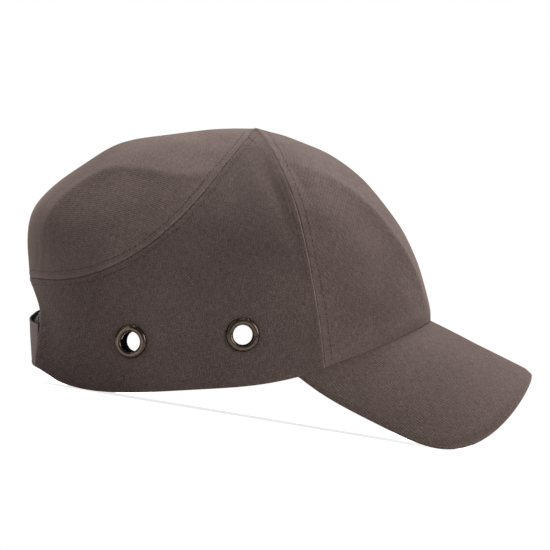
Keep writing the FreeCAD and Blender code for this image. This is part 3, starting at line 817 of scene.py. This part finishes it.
def cover_relief(seams, seed, eyelets=(), lip=0.0, flare=None):
    """The cover's shape.

    seams gives each sewn edge and its step, where a step of more than 0.3 is a turned-under edge lying on top
    of the next panel, given a painted highlight on its lower part. The lip rolls over the peak at the b1
    edge, and flare is beside which edge, how far and up to what height the free corner stands out.
    """
    def relief(at):
        shift = 0.0
        proud = 0.0
        wear_and_highlight = np.zeros_like(at["a"])
        for edge, step in seams.items():
            tuck, welt = seam_relief(at[edge], step)
            shift = shift + tuck
            proud = proud + welt + pucker(at, at[edge], 8.0, 0.34, seed)
            wear_and_highlight = wear_and_highlight + 0.35 * bell(at[edge], 0.9, 1.3)
            # Painted highlight along a turned-under seam edge, only on its lower part, where the front light
            # falls on it.
            painted_fold_highlight = (step > 0.3) * bell(at[edge], 0.7)
            wear_and_highlight = wear_and_highlight + 1.9 * painted_fold_highlight * smooth(0.38, 0.55, at["b"])
        calm = smooth(0.0, 12.0, at["edge"])
        drape = 1.0 * noise_at(at["points"], 40.0, seed) + 0.45 * noise_at(at["points"], 17.0, seed + 1.0)
        drape = drape + crease_lift(at["points"])
        shift = shift + calm * drape
        shift = shift + lip * (bell(at["b1"], 4.0, 6.0) - 0.8 * bell(at["b1"], 2.2))
        if flare:
            edge, height, reach = flare
            shift = shift + height * bell(at[edge], 12.0) * (1.0 - smooth(0.0, reach, at["b1"]))
            shift = shift - BACK_EDGE_ROLL * bell(at[edge], 2.0)
        for centre, radius in eyelets:
            away = np.linalg.norm(at["points"] - centre, axis=-1)
            shift = shift * smooth(8.0, 20.0, away) - 0.32 * (1.0 - smooth(8.4, 12.5, away))
            shift = shift + 0.16 * bell(away, 2.2, 12.8)
        free = np.minimum(at["a0"] + 50.0 * ("a0" in seams), at["b1"] + 50.0 * ("b1" in seams))
        wear_and_highlight = wear_and_highlight + 0.30 * (1.0 - smooth(0.2, 1.6, free))
        return shift, proud, wear_and_highlight

    return relief


SIDE_DOWN = np.linspace(0.0, 1.0, 200)
SIDE_RUN = run_lengths(side_line(SIDE_DOWN), 0)


def side_weave(side):
    """The side panels' cloth hangs straight: across is level, and down follows the side of the crown."""
    def weave(at):
        height = at["points"][..., 2]
        down = np.interp(-height, -side_line(SIDE_DOWN)[:, 1], SIDE_RUN)
        return np.stack([-side * at["points"][..., 0], down], -1)

    return weave


def rear_weave(at):
    """The rear panel's cloth lies straight over the top, turning down all round."""
    x, y = at["points"][..., 0] - CROWN_TOP_X, at["points"][..., 1]
    away = np.maximum(np.hypot(x, y), 1e-6)
    stretch = np.maximum(at["b0"], away) / away
    return np.stack([x * stretch, y * stretch], -1)


def panel(name, place, a_grid, b_grid, cloth, node, **sheet):
    return soft_sheet(f"cover_{name}", place, a_grid, b_grid, 0.0, CLOTH, [cloth, LINING],
                      rounding=SEAM_ROUNDING, stands_for=[node], **sheet)


def make_front_panel():
    def place(a, b, lift):
        v = between(0.002, 1.0, b)
        half = front_seam_angle(v) - 0.02
        return crown(between(-half, half, a), v, lift)

    return panel("front", place, (150.0, 1.5, 0.55, 8.0), (150.0, 1.5, 0.6, 7.0), PAINTED_LIGHTER_COVER, "front_panel",
                 relief=cover_relief({"a0": -0.10, "a1": -0.10}, 3.0, lip=0.4))


def make_rear_panel():
    start = SEAM_POLE_ANGLE + 0.4

    def place(a, b, lift):
        angle = between(start, 360.0 - start, a)
        seam_v = rear_seam_v(np.minimum(angle, 360.0 - angle)) + 0.0011
        return crown(angle, between(0.002, 1.0, b) * seam_v, lift)

    return panel("rear", place, (360.0, 1.7, 1.2, 8.0), (125.0, 1.4, 0.5, 8.0), PAINTED_LIGHTER_COVER, "rear_crown_panel",
                 relief=cover_relief({"b1": 0.24}, 11.0), weave=rear_weave)


def make_side_panel(side, name):
    def seam_edge(share):
        angle = between(SEAM_POLE_ANGLE, 179.8, share ** 1.6)
        return np.stack([angle, rear_seam_v(angle) + 0.0002 * np.minimum(1.0, 10.0 * share)], -1)

    def low_edge(share):
        angle = between(FRONT_SEAM_LOW_ANGLE - SEAM_LOW_LAP, 180.0 - ARCH_HALF_ANGLE, share)
        return np.stack([angle, 1.0 - 0.011 * smooth(146.0, 160.0, angle)], -1)

    def front_edge(share):
        low_lap = between(SEAM_LAP, SEAM_LOW_LAP, smooth(0.45, 0.85, share))
        lap = between(0.02, -low_lap, np.minimum(1.0, 8.0 * share))
        return np.stack([front_seam_angle(share) + lap * np.minimum(1.0, 10.0 * share), share], -1)

    def back_edge(share):
        angle, v = arch_edge(share)
        return np.stack([np.minimum(angle, 179.8), v - 0.011 * share], -1)

    zero, one = np.zeros(1), np.ones(1)
    corners = [np.array([SEAM_POLE_ANGLE, 0.0]), seam_edge(one)[0], low_edge(zero)[0], low_edge(one)[0]]

    def place(a, b, lift):
        """A Coons patch between the four edges, as angles and v."""
        a_, b_ = a[..., None], b[..., None]
        where = (1.0 - b_) * seam_edge(a) + b_ * low_edge(a) + (1.0 - a_) * front_edge(b) + a_ * back_edge(b)
        where = where - (1.0 - b_) * ((1.0 - a_) * corners[0] + a_ * corners[1])
        where = where - b_ * ((1.0 - a_) * corners[2] + a_ * corners[3])
        return crown(side * where[..., 0], np.maximum(where[..., 1], 0.0), lift)

    cuts = [(crown_face(side * angle, v), EYELET_CUT) for angle, v in EYELETS.values()]
    front, flare = ("a0", ("a1", 3.6, 34.0)) if side < 0 else ("a1", ("a0", 1.2, 14.0))
    relief = cover_relief({front: 0.40, "b0": -0.10}, 23.0 + side, cuts, flare=flare)
    return panel(name, place, (185.0, 1.3, 0.55, 8.0), (135.0, 1.3, 0.55, 8.0), SIDE_COVER,
                 f"{name}_side_panel", relief=relief, turned=side > 0.0, open_at=cuts, weave=side_weave(side))


cover_front = make_front_panel()
cover_rear = make_rear_panel()
cover_sides = {name: make_side_panel(side, name) for side, name in SIDES}

# ---- the peak ----

SLOPE = math.radians(PEAK_SLOPE)
PEAK_FORWARD = np.array([math.cos(SLOPE), 0.0, -math.sin(SLOPE)])
PEAK_UP = np.array([math.sin(SLOPE), 0.0, math.cos(SLOPE)])
PEAK_START = crown_face(0.0, 1.0)
RIM_ROLL, RIM_ROLL_WIDTH = 1.3, 6.0
UNDER_THE_COVER = 2.4


def peak_bent(round_way, forward, lift):
    turn = round_way / PEAK_BEND_RADIUS
    radius = PEAK_BEND_RADIUS + lift
    drop = PEAK_BEND_RADIUS - radius * np.cos(turn)
    side = np.stack([0.0 * turn, radius * np.sin(turn), 0.0 * turn], -1)
    return PEAK_START + PEAK_FORWARD * forward[..., None] + side - PEAK_UP * drop[..., None]


def peak_outline(share, inset):
    direction = np.radians(between(-PEAK_CORNER_ANGLE, PEAK_CORNER_ANGLE, share))
    forward, across = np.cos(direction), np.sin(direction)
    length = np.where(forward > 0.0, PEAK_LENGTH, PEAK_BACK)
    reach = superellipse_radius(forward, across, length - inset, PEAK_HALF_WIDTH - inset, PEAK_POWER)
    return reach * across, reach * forward


def peak_seam(share, gap):
    offset = crown_face(between(-PEAK_SEAM_ANGLE, PEAK_SEAM_ANGLE, share), 1.0) - PEAK_START
    drop = -offset @ PEAK_UP
    turn = np.arctan2(offset[..., 1], PEAK_BEND_RADIUS - drop)
    return PEAK_BEND_RADIUS * turn, offset @ PEAK_FORWARD + gap


def make_peak():
    def place(a, b, lift):
        out_round, out_forward = peak_outline(a, 0.0)
        in_round, in_forward = peak_seam(a, -UNDER_THE_COVER)
        return peak_bent(between(in_round, out_round, b), between(in_forward, out_forward, b), lift)

    def relief(at):
        rim = at["b1"]
        turned = 0.05 * bell(rim, 1.2, 3.0) - 0.05 * bell(rim, 1.0, 5.4)
        calm = smooth(0.0, 9.0, at["edge"])
        drape = 0.30 * noise_at(at["points"], 30.0, 41.0) + 0.12 * noise_at(at["points"], 11.0, 42.0)
        pull = 0.16 * noise_at(at["points"], 5.5, 43.0) * bell(at["b0"], 6.0)
        wear_and_highlight = 0.55 * (1.0 - smooth(0.4, 2.4, rim))
        rolled = -RIM_ROLL * (1.0 - smooth(0.0, RIM_ROLL_WIDTH, rim))
        return rolled, turned + calm * drape + pull, wear_and_highlight

    def weave(at):
        out_round, out_forward = peak_outline(at["a"], 0.0)
        in_round, in_forward = peak_seam(at["a"], 0.0)
        share = at["b"]
        return np.stack([between(in_round, out_round, share), between(in_forward, out_forward, share)], -1)

    soft_sheet("peak_cover", place, (250.0, 1.5, 0.8, 8.0), (60.0, 1.2, 0.4, 6.0), 0.0, PEAK_THICKNESS,
               [PEAK_CLOTH, PEAK_CLOTH], rounding=1.5, relief=relief, weave=weave,
               stands_for=["peak_top_cloth", "peak_under_cloth"])


make_peak()

# ---- the lining side: tapes, pads, sweatband and label ----

TAPE_LIFT, TAPE_THICKNESS = -1.62, 0.4
PAD_LIFT, PAD_THICKNESS = -4.8, 5.0
BAND_LIFT, BAND_THICKNESS = -2.1, 2.5
LABEL_LIFT, LABEL_THICKNESS = -4.65, 0.3


def crown_patch(a_range, b_range):
    """place() for a patch of the crown between two angles and two values of v."""
    def place(a, b, lift):
        return crown(between(*a_range, a), between(*b_range, b), lift)

    return place


def plain_relief(depth, size, seed):
    def relief(at):
        return depth * noise_at(at["points"], size, seed) * smooth(0.0, 3.0, at["edge"]), 0.0, 0.0 * at["a"]

    return relief


def make_tapes():
    def tape(name, place, a_grid, b_grid, seed, node, depth=0.12, outer_lift=TAPE_LIFT, turned=True):
        soft_sheet(f"tape_{name}", place, a_grid, b_grid, outer_lift, TAPE_THICKNESS, [TAPE], turned,
                   relief=plain_relief(depth, 9.0, seed), stands_for=[node], slot="tape")

    def front_tape(side):
        def place(a, b, lift):
            v = between(0.12, 0.97, b)
            middle = crown_face(front_seam_angle(v), v)
            half = np.degrees(6.0 / np.hypot(middle[..., 0], middle[..., 1]))
            return crown(side * (front_seam_angle(v) + between(-half, half, a)), v, lift)

        return place

    def rear_tape(a, b, lift):
        angle = between(SEAM_POLE_ANGLE + 12.0, 360.0 - SEAM_POLE_ANGLE - 12.0, a)
        from_middle = np.abs(180.0 - angle)
        seam_v = rear_seam_v(180.0 - from_middle)
        past_arch = np.maximum(0.0, from_middle - ARCH_HALF_ANGLE)
        low_v = np.minimum(seam_v + 0.034, ARCH_TOP_V - 0.001 * (1.0 - past_arch))
        return crown(angle, between(seam_v - 0.034, low_v, b), lift)

    def arch_facing(a, b, lift):
        across = 2.0 * a - 1.0
        angle, v = arch_edge(0.30 * np.abs(across))
        turn = np.minimum(1.0, (180.0 - angle) / ARCH_HALF_ANGLE)
        angle = angle - 5.0 * b * turn
        v = v - 0.045 * b * np.sqrt(np.maximum(0.0, 1.0 - turn ** 4))
        return crown(np.where(across < 0.0, angle, 360.0 - angle), v, lift)

    wide, short = (12.0, 1.2, 0.2, 0.6), (20.0, 1.2, 0.2, 0.6)
    for side, name in SIDES:
        tape(f"front_{name}", front_tape(side), wide, (125.0, 2.0, 0.5, 2.0), 51.0, f"{name}_front_seam_tape",
             turned=side > 0.0)
    tape("rear", rear_tape, (360.0, 2.0, 0.5, 2.0), wide, 52.0, "rear_seam_tape", turned=False)
    tape("arch", arch_facing, (90.0, 1.2, 0.3, 1.2), wide, 53.0, "arch_facing", 0.10, -2.05)
    tape("crown", dome_place(0.08, 0.6), short, short, 54.0, "crown_tape", 0.05)


def dome_place(edge_v, roundness):
    """place() for a patch over the crown's top down to edge_v, from a square grid bent nearly round."""
    def place(a, b, lift):
        along, across = 2.0 * a - 1.0, 2.0 * b - 1.0
        disc_x = along * np.sqrt(1.0 - roundness * across ** 2 / 2.0)
        disc_y = across * np.sqrt(1.0 - roundness * along ** 2 / 2.0)
        angle = np.degrees(np.arctan2(disc_y, disc_x))
        return crown(angle, np.hypot(disc_x, disc_y) * edge_v, lift)

    return place


def make_pads():
    """Soft foam pads with pressed, rounded edges."""
    def pad(name, place, width, height, node, turned=False):
        piece = soft_sheet(f"foam_{name}", place, (width, 2.2, 0.7, 3.5), (height, 2.2, 0.7, 3.5), PAD_LIFT,
                           PAD_THICKNESS, [FOAM], turned, rounding=2.3, stands_for=[node], slot="foam",
                           relief=plain_relief(0.30, 14.0, 61.0 + width))

    pad("crown", dome_place(0.36, 0.7), 88.0, 88.0, "crown_pad", turned=True)
    pad("front", crown_patch((-38.0, 38.0), (0.56, 0.80)), 110.0, 45.0, "front_pad")
    pad("rear", crown_patch((152.0, 208.0), (0.52, 0.72)), 75.0, 35.0, "rear_pad")
    for middle, name in ((-95.0, "right"), (95.0, "left")):
        ends = (middle - 29.0, middle + 29.0)
        pad(name, crown_patch(ends, (0.62, 0.745)), 78.0, 22.0, f"{name}_side_pad")


def band_top_v(angle):
    return between(0.925, 0.865, np.maximum(0.0, np.cos(np.radians(angle))) ** 2)


def band_place(a, b, lift):
    angle = between(-148.0, 148.0, a)
    return crown(angle, between(band_top_v(angle), 0.985, b), lift)


def make_sweatband():
    def relief(at):
        height = at["b0"] + at["b1"]
        crowned = 0.35 * np.sin(math.pi * at["b0"] / height)
        stitched = -0.55 * bell(at["b1"], 0.8, 2.2)
        soft = 0.25 * noise_at(at["points"], 10.0, 71.0) * smooth(0.0, 3.0, at["edge"])
        return -(crowned + stitched + soft) * smooth(0.0, 1.2, at["edge"]) * 0.5, 0.0, 0.0 * at["a"]

    band = soft_sheet("sweatband_cloth", band_place, (480.0, 2.0, 0.6, 3.0), (20.0, 0.9, 0.45, 2.7),
                      BAND_LIFT, BAND_THICKNESS, [TOWEL], rounding=1.25, relief=relief,
                      stands_for=["sweatband"], slot="band")
    a = np.linspace(0.008, 0.992, 700)
    b = np.full_like(a, 0.88)
    row = band_place(a, b, -4.45)
    stitch_row("sweatband_stitches", row, row - band_place(a, b, 0.0), length=3.2, gap=1.1, slot="band")


def make_size_label():
    """A blank satin label on the sweatband's inner face."""
    soft_sheet("size_label_cloth", crown_patch((98.0, 112.0), (0.935, 0.975)), (22.0, 1.0, 0.2, 0.6),
               (7.0, 0.7, 0.15, 0.6), LABEL_LIFT, LABEL_THICKNESS, [LABEL],
               relief=plain_relief(0.10, 8.0, 75.0), stands_for=["size_label"], slot="label")


make_tapes()
make_pads()
make_sweatband()
make_size_label()

# ---- eyelets and the pieces that keep their CAD shape ----

def make_eyelets():
    """A rolled metal ring outside, its barrel through the cloth and its lip turned over the washer."""
    lip = -3.0
    crest = between(EYELET_HOLE, EYELET_FLANGE, 0.45)
    outside = [(EYELET_FLANGE - 0.05, -0.15), (EYELET_FLANGE, 0.15), (EYELET_FLANGE - 0.12, 0.50)]
    for step in range(13):
        turn = math.pi * (0.14 + 0.80 * step / 12.0)
        width = EYELET_FLANGE - 0.1 - crest if turn < math.pi / 2.0 else crest - EYELET_HOLE
        outside.append((crest + width * math.cos(turn), 0.05 + 1.45 * math.sin(turn) ** 0.8))
    past_hole = [(0.0, -0.3), (0.0, -1.2), (0.14, -2.1), (0.48, lip), (1.1, lip - 0.5), (1.6, lip - 0.45),
                 (1.75, lip - 0.2), (1.5, lip - 0.05), (0.65, lip - 0.05), (0.65, -0.15)]
    outline = outside + [(EYELET_HOLE + wider, height) for wider, height in past_hole]
    # Lighter crest on the rolled ring: abraded metal and a painted highlight.
    wear_and_highlight = [bell(radius, 0.38, crest) * (height > 0.9) for radius, height in outline]
    for side, name in SIDES:
        for place, (angle, v) in EYELETS.items():
            lathe(f"{name}_{place}_ring", outline, crown_face(side * angle, v), crown_normal(side * angle, v),
                  [BRONZE], wear_and_highlight, stands_for=[f"{name}_{place}"], slot="eyelet")


def dress_cad():
    """Materials for the CAD nodes whose shape stays."""
    kept = {"hard_shell": SHELL, "peak_board": BOARD}
    for _, name in SIDES:
        for place in EYELETS:
            kept[f"{name}_{place}_washer"] = BRONZE
    for node, material in kept.items():
        mesh = bpy.data.objects[node].data
        mesh.materials.clear()
        mesh.materials.append(material)


make_eyelets()
dress_cad()

# ---- the strap at the back ----

STRAP_THICKNESS, STRAP_WIDTH = 1.2, 24.0
TAB_THICKNESS, TAB_RADIUS = 0.95, 86.4
TAB_ANGLES = (-29.0, 10.0)
PILE_LENGTH, PILE_WIDTH = 37.0, 20.0
HOOK_THICKNESS, LOOP_THICKNESS = 0.75, 0.8
BLEND_SHARES = (0.77, 0.70)


def strip_place(angles, radius, thickness, middle_z, height, rise, climb=0.0, slant=0.0):
    """place() for a strip bent round the strap axis.

    rise is how much it climbs for each millimetre sideways, climb how far it steps out over the left panel,
    and slant how many degrees its end leans.
    """
    def place(a, b, lift):
        angle = between(angles[0] + slant * b, angles[1], a)
        reach = radius + thickness + lift + climb * smooth(10.0, 18.0, angle)
        turn = np.radians(angle)
        x, y = STRAP_AXIS_X - reach * np.cos(turn), reach * np.sin(turn)
        return np.stack([x, y, middle_z + rise * y + height * (0.5 - b)], -1)

    return place


def webbing(name, place, length, thickness, seed, **piece):
    """The strap or the tab: webbing with a row of stitching along three edges."""
    def relief(at):
        rows = sum(-0.16 * bell(at[edge], 0.6, 2.4) for edge in ("b0", "b1", "a0"))
        soft = 0.14 * noise_at(at["points"], 8.0, seed) * smooth(0.0, 2.0, at["edge"])
        wear_and_highlight = 0.35 * (1.0 - smooth(0.2, 1.2, at["edge"]))
        return soft, rows, wear_and_highlight

    return soft_sheet(name, place, (length, 0.9, 0.3, 1.5), (STRAP_WIDTH, 0.9, 0.3, 1.5), 0.0, thickness,
                      [PAINTED_LIGHTER_STRAP_CLOTH, LINING], turned=True, relief=relief, **piece)


def pile_tape(name, place, thickness, material, node, body=CAP):
    """One half of the hook-and-loop fastener."""
    soft_sheet(name, place, (PILE_LENGTH, 1.0, 0.25, 1.0), (PILE_WIDTH, 1.0, 0.25, 1.0), 0.0, thickness,
               [material], turned=True, stands_for=[node], slot="fastener_tape", body=body)


def make_strap():
    strap = strip_place((-18.9, 31.0), 89.3, STRAP_THICKNESS, STRAP_MIDDLE_Z, STRAP_WIDTH, STRAP_RISE,
                        climb=1.1, slant=2.5)
    cloth = webbing("strap_cloth", strap, 76.0, STRAP_THICKNESS, 81.0, stands_for=["strap", "strap_root"],
                    body=None)
    hinge_near, hinge_far = (to_rest(strap(np.array(share), np.array(0.5), 0.0)) for share in BLEND_SHARES)
    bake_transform(cloth)
    hook = strip_place((-14.5, 9.5), 88.5, HOOK_THICKNESS, STRAP_MIDDLE_Z, PILE_WIDTH, STRAP_RISE, slant=3.0)
    pile_tape("hook_pile", hook, HOOK_THICKNESS, HOOKS, "hook_tape", TAIL)
    loop = strip_place((-15.5, 9.0), 87.4, LOOP_THICKNESS, TAB_MIDDLE_Z, PILE_WIDTH, TAB_RISE)
    pile_tape("loop_pile", loop, LOOP_THICKNESS, LOOPS, "loop_tape")
    flat_tab = strip_place(TAB_ANGLES, TAB_RADIUS, TAB_THICKNESS, TAB_MIDDLE_Z, STRAP_WIDTH, TAB_RISE)

    def tab(a, b, lift):
        """The flat tab, lifted where it comes out from under the strap's end."""
        angle = between(*TAB_ANGLES, a)
        climb = 1.3 * smooth(-15.9, -17.4, angle) * (1.0 - smooth(-18.8, -20.8, angle))
        return flat_tab(a, b, lift + climb)

    webbing("tab_cloth", tab, 59.0, TAB_THICKNESS, 83.0, stands_for=["right_tab"])


make_strap()

# ---- stitching ----

STITCH_LIFT = -0.03
FRONT_STITCH_FROM_SEAM = 4.4
BAR_TACK = [(82.4, 0.194), (78.8, 0.218), (75.3, 0.242)]


def make_stitches():
    share = np.linspace(0.0, 1.0, 900)
    half = between(SEAM_POLE_ANGLE + 4.5, 180.0, share ** 1.6)
    angle = np.concatenate([half, 360.0 - half[::-1]])
    v = rear_seam_v(np.minimum(angle, 360.0 - angle))
    seam, normals = crown_face(angle, v), crown_normal(angle, v)
    row = on_cloth(cover_rear, beside(seam, normals, STITCH_FROM_SEAM), normals)
    stitch_row("rear_seam_stitches_upper", row, normals, radius=0.14, hole_shade=0.30, lift=STITCH_LIFT)
    for name, chosen in (("right", angle > 180.0), ("left", angle < 180.0)):
        rows = (("", -STITCH_FROM_SEAM, 0.12, 0.24), ("_ditch", -0.30, 0.09, 0.16))
        for place, distance, radius, hole_shade in rows:
            row = on_cloth(cover_sides[name], beside(seam, normals, distance)[chosen], normals[chosen])
            stitch_row(f"rear_seam_stitches_{name}{place}", row, normals[chosen], radius=radius, hole_shade=hole_shade,
                       lift=STITCH_LIFT)
    v = np.linspace(0.075, 0.985, 500)
    for side, name in SIDES:
        angle = side * front_seam_angle(v)
        seam, normals = crown_face(angle, v), crown_normal(angle, v)
        row = on_cloth(cover_front, beside(seam, normals, -side * FRONT_STITCH_FROM_SEAM), normals)
        stitch_row(f"front_seam_stitches_{name}", row, normals, radius=0.13, hole_shade=0.20, lift=STITCH_LIFT)
        angle, v_tack = profile(BAR_TACK)(np.linspace(0.0, 1.0, 40)).T
        normals = crown_normal(side * angle, v_tack)
        row = on_cloth(cover_sides[name], crown_face(side * angle, v_tack), normals)
        stitch_row(f"bar_tack_{name}", row, normals, length=1.1, gap=0.2, radius=0.14, hole_shade=0.16,
                   lift=STITCH_LIFT)


make_stitches()

# ---- lights, floor and finish ----

def area_light(name, place, target, size, power):
    data = bpy.data.lights.new(name, "AREA")
    data.shape = "RECTANGLE"
    data.size, data.size_y = size
    data.energy = power
    light = add_object(name, data)
    ahead = (Vector(target) - Vector(place)).normalized()
    light.location = place
    light.rotation_euler = ahead.to_track_quat("-Z", "Y").to_euler()


def make_lights():
    area_light("light_top", (0.0, 0.30, 1.5), (0.0, 0.0, 0.05), (1.0, 0.7), 47.0)
    area_light("light_front", (1.25, -0.95, 0.7), (0.05, 0.0, 0.06), (0.9, 0.9), 20.0)
    area_light("light_rear", (-1.4, -0.2, 1.2), (-0.05, 0.0, 0.08), (1.0, 1.0), 6.0)
    area_light("light_camera", (0.6, -2.2, 1.0), (0.0, 0.0, 0.06), (1.6, 1.2), 2.4)
    for name, x in (("strip_front", 1.5), ("strip_rear", -1.5)):
        area_light(f"light_{name}", (x, -1.3, 0.35), (0.0, 0.0, 0.06), (0.08, 0.9), 2.4)
    world = bpy.data.worlds.new("studio")
    world.use_nodes = True
    tree = world.node_tree
    behind = tree.nodes["Background"]
    feed(behind.inputs["Color"], WHITE)
    feed(behind.inputs["Strength"], glow(tree, 0.33, 1.0))
    bpy.context.scene.world = world
    bpy.context.scene.view_settings.view_transform = "Standard"


def make_floor():
    """A small round white table top, lit a little from within as a light table is."""
    sides, radius = 96, 0.42
    turns = [TURN * i / sides for i in range(sides)]
    points = [(radius * math.cos(turn), radius * math.sin(turn), -0.0006) for turn in turns]
    mesh = bpy.data.meshes.new("floor")
    mesh.from_pydata(points, [], [list(range(sides))])
    material, tree, shader = new_material("pale_floor", Roughness=0.9, Emission_Color=WHITE)
    feed(shader.inputs["Emission Strength"], glow(tree, 0.15, 0.80))
    soft = noise_node(object_coordinates(tree), 3.0)
    feed(shader.inputs["Base Color"], mix_colour(soft, (0.60, 0.60, 0.60), (0.64, 0.64, 0.64)))
    mesh.materials.append(material)
    floor = add_object("floor", mesh)


make_lights()
make_floor()
